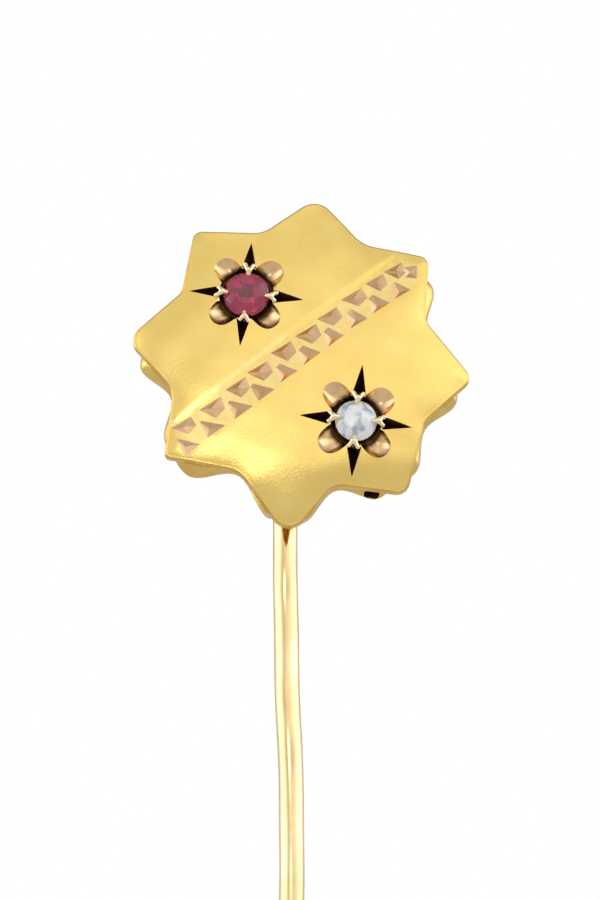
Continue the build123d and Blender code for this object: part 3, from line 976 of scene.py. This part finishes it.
def gallery():
    zs = np.array([p[0] for p in PROF])[::-1]
    ins = np.array([p[1] for p in PROF])[::-1]
    bel = np.array([p[2] for p in PROF])[::-1]

    def smooth_at(z, vals):
        c = np.polyfit(zs, vals, 4)
        return float(np.polyval(c, z))

    verts, faces = [], []
    steps = 18
    rings = []

    def add_ring(loop, frac):
        top = dome(loop[:, 0], loop[:, 1]) - PLATE_T - 0.06
        z = top + (WALL_BACK - top) * frac
        ids = []
        for (x, y), zz in zip(loop, z):
            ids.append(len(verts))
            verts.append((x, y, zz))
        rings.append(ids)

    for k in range(steps + 1):
        f = k / steps
        z = -0.62 + (WALL_BACK + 0.62) * f
        add_ring(closed_spline(ring_knots(smooth_at(z, ins), smooth_at(z, bel))), f)
    for k in range(7):
        f = 1 - k / 6
        z = -0.62 + (WALL_BACK + 0.62) * f
        add_ring(closed_spline(ring_knots(smooth_at(z, ins) - WALL_T, smooth_at(z, bel))), f)
    n = len(rings[0])
    for a, b in zip(rings, rings[1:] + rings[:1]):
        for i in range(n):
            j = (i + 1) % n
            faces.append((a[i], a[j], b[j], b[i]))
    ob = new_object("gallery_strip", verts, faces, [M_POLISH, M_SEAM], None, True, None)
    recalc(ob)
    # air hole low on the lower right lobe
    bm = bmesh.new()
    bmesh.ops.create_cone(bm, cap_ends=True, segments=28, radius1=0.00032, radius2=0.00032, depth=0.0016)
    me = bpy.data.meshes.new("hole_cut")
    bm.to_mesh(me)
    bm.free()
    cut = bpy.data.objects.new("hole_cut", me)
    cut.matrix_world = TO_WORLD @ Matrix.Translation((3.42, -5.45, -1.10)) @ Matrix.Rotation(math.pi / 2, 4, "X") @ Matrix.Scale(1000, 4)
    bpy.context.scene.collection.objects.link(cut)
    mod = ob.modifiers.new("hole", "BOOLEAN")
    mod.object, mod.operation, mod.solver = cut, "DIFFERENCE", "EXACT"
    dg = bpy.context.evaluated_depsgraph_get()
    me2 = bpy.data.meshes.new_from_object(ob.evaluated_get(dg))
    ob.modifiers.clear()
    old = ob.data
    ob.data = me2
    bpy.data.meshes.remove(old)
    bpy.data.objects.remove(cut)
    ob.data.set_sharp_from_angle(angle=math.radians(38))
    print("gallery", len(ob.data.polygons), "faces")
    return ob


M_SEAM = M_DARK
gal = gallery()
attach(gal, "root")
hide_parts("gallery_wall")


def back_sheet():
    """The flat back, with its edges eased."""
    loop = closed_spline(ring_knots(-0.26, 0.25), 8)
    verts, faces, rings = [], [], []
    e = 0.055
    levels = [(WALL_BACK, 0.0)]
    levels += [(WALL_BACK - BACK_T + e - e * math.sin(t), e - e * math.cos(t))
               for t in np.linspace(0, math.pi / 2, 5)]
    for z, inset in levels:
        q = offset_loop(loop, inset)
        ids = []
        for x, y in q:
            ids.append(len(verts))
            verts.append((x, y, z))
        rings.append(ids)
    n = len(loop)
    for a, b in zip(rings, rings[1:]):
        for i in range(n):
            j = (i + 1) % n
            faces.append((a[i], a[j], b[j], b[i]))
    faces.append(tuple(rings[0]))
    faces.append(tuple(reversed(rings[-1])))
    ob = new_object("back_sheet", verts, faces, [M_BACK], None, True, None)
    recalc(ob)
    ob.data.set_sharp_from_angle(angle=math.radians(35))
    return ob


back = back_sheet()
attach(back, "root")
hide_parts("back_plate")


# --------------------------------------------------------------------------
# wire: drawn, then filed and bent by hand, so its side wanders a little
def wire():
    top, bottom, r0 = 39.1, -21.5, 0.515
    path_z = [39.1, 38.585, 28.5, 23.5, 18.5, 14.5, 10.5, 0.0, -21.5]
    path_x = [0.0, 0.0, -0.02, -0.04, 0.085, 0.0, 0.0, 0.0, 0.0]
    verts, faces, rings = [], [], []
    seg = 40
    zz = []
    for a in np.linspace(0, math.pi / 2, 9)[1:]:
        zz.append((top - 0.22 + 0.22 * math.cos(a), math.sin(a)))
    for z in np.arange(top - 0.30, -13.6, -0.22):
        zz.append((z, 1.0))
    for t in np.linspace(0.02, 1, 60) ** 0.9:
        z = -13.5 - 7.93 * t
        zz.append((z, 1 - 0.90 * t ** 1.45))
    kx, kz = np.array(path_x)[::-1], np.array(path_z)[::-1]
    for z, f in zz:
        x = float(np.interp([z - 0.9, z - 0.45, z, z + 0.45, z + 0.9], kz, kx).mean())
        fade = max(0.0, min(1.0, (z + 13.0) / 4.0))
        below = max(0.0, min(1.0, (33.0 - z) / 3.0))
        # long ripples left by the draw plate and the file
        y = fade * below * 0.012 * math.sin(1.7 * z + 1.9)
        for z0, half, drop in ((27.4, 0.85, 0.115), (20.5, 1.15, 0.150)):
            t = max(-1.0, min(1.0, (z - z0) / half))
            # two slight kinks, each bent back over the length above it
            y -= drop * (0.5 + 0.75 * t - 0.25 * t ** 3) * fade
            if z > z0 + half:
                y += drop * min(1.0, (z - z0 - half) / 4.5) * fade
        x += below * fade * 0.012 * math.sin(1.3 * z + 0.2)
        r = r0 * f
        ids = []
        for k in range(seg):
            a = 2 * math.pi * k / seg
            wob = 1 - 0.018 * below * fade * (1 + math.sin(2 * a + 0.45 * z)) * 0.5 \
                - 0.006 * fade * (1 + math.sin(3 * a - 1.7 * z)) * 0.5
            ids.append(len(verts))
            verts.append((x + r * wob * math.cos(a), y + r * wob * math.sin(a), z))
        rings.append(ids)
    for a, b in zip(rings, rings[1:]):
        for i in range(seg):
            j = (i + 1) % seg
            faces.append((a[i], b[i], b[j], a[j]))
    t0, t1 = len(verts), len(verts) + 1
    verts.append((0, 0, top))
    verts.append((0, 0, bottom))
    for i in range(seg):
        j = (i + 1) % seg
        faces.append((rings[0][i], rings[0][j], t0))
        faces.append((rings[-1][j], rings[-1][i], t1))
    ob = new_object("pin_wire", verts, faces, [M_WIRE], None, True, None, Matrix.Scale(MM, 4))
    recalc(ob)
    print("wire", len(ob.data.polygons), "faces")
    return ob


w = wire()
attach(w, "root")
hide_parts("pin_stem")

# --------------------------------------------------------------------------
# CAD pieces kept as they are
for node, mat in (("stem_pad", M_BACK),):
    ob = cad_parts[node]
    if len(ob.material_slots) == 0:
        ob.data.materials.append(mat)
    for s_ in ob.material_slots:
        s_.material = mat

# --------------------------------------------------------------------------
# floor, camera, lights
lowest = cad_box[0][2]
fl = new_object("floor", [(-1.5, -1.5, 0), (1.5, -1.5, 0), (1.5, 1.5, 0), (-1.5, 1.5, 0)],
                [(0, 1, 2, 3)], matrix=Matrix.Translation((0, 0, lowest - 0.0004)))
M_FLOOR = bpy.data.materials.new("floor_paper")
M_FLOOR.use_nodes = True
M_FLOOR.node_tree.nodes["Principled BSDF"].inputs["Base Color"].default_value = (0.86, 0.86, 0.86, 1)
M_FLOOR.node_tree.nodes["Principled BSDF"].inputs["Roughness"].default_value = 0.8
fl.data.materials.append(M_FLOOR)

RX, RY, RZ = -16.5476, 1.5, -5.7177
TX, TY, KPX, DIST = 0.0437, 3.8864, 24.3104, 120.0
Rc = (Matrix.Rotation(math.radians(RY), 3, "Y") @ Matrix.Rotation(math.radians(RX), 3, "X")
      @ Matrix.Rotation(math.radians(RZ), 3, "Z"))
pos_h = Rc.transposed() @ Vector((-TX, -TY, DIST))
cam_h = Matrix.Translation(pos_h) @ Rc.transposed().to_4x4()
cam_w = HEAD @ cam_h
loc, rot, _ = cam_w.decompose()
cam = bpy.data.cameras.new("camera")
cam.sensor_fit = "VERTICAL"
cam.sensor_height = 24.0
cam.lens = KPX * DIST / 900.0 * 24.0
cam.clip_start, cam.clip_end = 0.005, 20.0
cob = bpy.data.objects.new("camera", cam)
cob.matrix_world = Matrix.Translation(loc * MM) @ rot.to_matrix().to_4x4()
bpy.context.scene.collection.objects.link(cob)
bpy.context.scene.camera = cob
print("camera at", [round(v, 2) for v in loc], "looks", [round(v, 3) for v in (rot @ Vector((0, 0, -1)))])

HEAD_C = Vector(HEAD_AT) * MM


def direction(az, el):
    """Unit vector from the head: az 0 is in front (-Y), positive to the right."""
    a, e = math.radians(az), math.radians(el)
    return Vector((math.sin(a) * math.cos(e), -math.cos(a) * math.cos(e), math.sin(e)))


world = bpy.data.worlds.new("world")
bpy.context.scene.world = world
world.use_nodes = True
nt = world.node_tree
ns, ln = nt.nodes, nt.links
for n_ in list(ns):
    ns.remove(n_)
out = ns.new("ShaderNodeOutputWorld")
bg_cam = ns.new("ShaderNodeBackground")
bg_cam.inputs["Color"].default_value = (1, 1, 1, 1)
bg_cam.inputs["Strength"].default_value = 1.0
bg_env = ns.new("ShaderNodeBackground")
mix = ns.new("ShaderNodeMixShader")
lp = ns.new("ShaderNodeLightPath")
ln.new(lp.outputs["Is Camera Ray"], mix.inputs[0])
ln.new(bg_env.outputs[0], mix.inputs[1])
ln.new(bg_cam.outputs[0], mix.inputs[2])
ln.new(mix.outputs[0], out.inputs[0])
tc = ns.new("ShaderNodeTexCoord")
sep = ns.new("ShaderNodeSeparateXYZ")
ln.new(tc.outputs["Generated"], sep.inputs[0])


def math_node(op, a, b=None, clamp=False):
    n_ = ns.new("ShaderNodeMath")
    n_.operation = op
    n_.use_clamp = clamp
    for i, v in enumerate((a, b)):
        if v is None:
            continue
        if isinstance(v, (int, float)):
            n_.inputs[i].default_value = v
        else:
            ln.new(v, n_.inputs[i])
    return n_.outputs[0]


def smooth(v, lo, hi, a=0.0, b=1.0):
    n_ = ns.new("ShaderNodeMapRange")
    n_.interpolation_type = "SMOOTHSTEP"
    ln.new(v, n_.inputs["Value"])
    n_.inputs["From Min"].default_value = lo
    n_.inputs["From Max"].default_value = hi
    n_.inputs["To Min"].default_value = a
    n_.inputs["To Max"].default_value = b
    return n_.outputs["Result"]


# the studio: a few broad soft lights, each at an azimuth and a height as seen from
# the head, with its spread in degrees and its strength
STUDIO = [
    (-12, -4, 7, 3.4),       # key, low in front
    (0, 8, 14, 0.60),        # front fill
    (26, 16, 14, 0.65),      # right fill
    (-8, 28, 16, 0.35),      # high front
    (-60, 15, 22, 1.3), (60, 15, 22, 1.3),
    (-95, 10, 22, 1.5), (95, 10, 22, 1.5),
    (0, 62, 18, 0.8),        # overhead
    (180, 10, 40, 0.65),     # behind
]


def glow(azi, ele, spread, power):
    d = direction(azi, ele)
    dot = ns.new("ShaderNodeVectorMath")
    dot.operation = "DOT_PRODUCT"
    ln.new(tc.outputs["Generated"], dot.inputs[0])
    dot.inputs[1].default_value = d
    k = 1.0 / math.radians(spread) ** 2
    t = math_node("MULTIPLY", math_node("SUBTRACT", dot.outputs["Value"], 1.0), k)
    return math_node("MULTIPLY", math_node("EXPONENT", t), power)


env = None
for g_ in STUDIO:
    part = glow(*g_)
    env = part if env is None else math_node("ADD", env, part)
ln.new(env, bg_env.inputs["Strength"])
bg_env.inputs["Color"].default_value = (1, 1, 1, 1)

bpy.context.scene.view_settings.view_transform = "Standard"
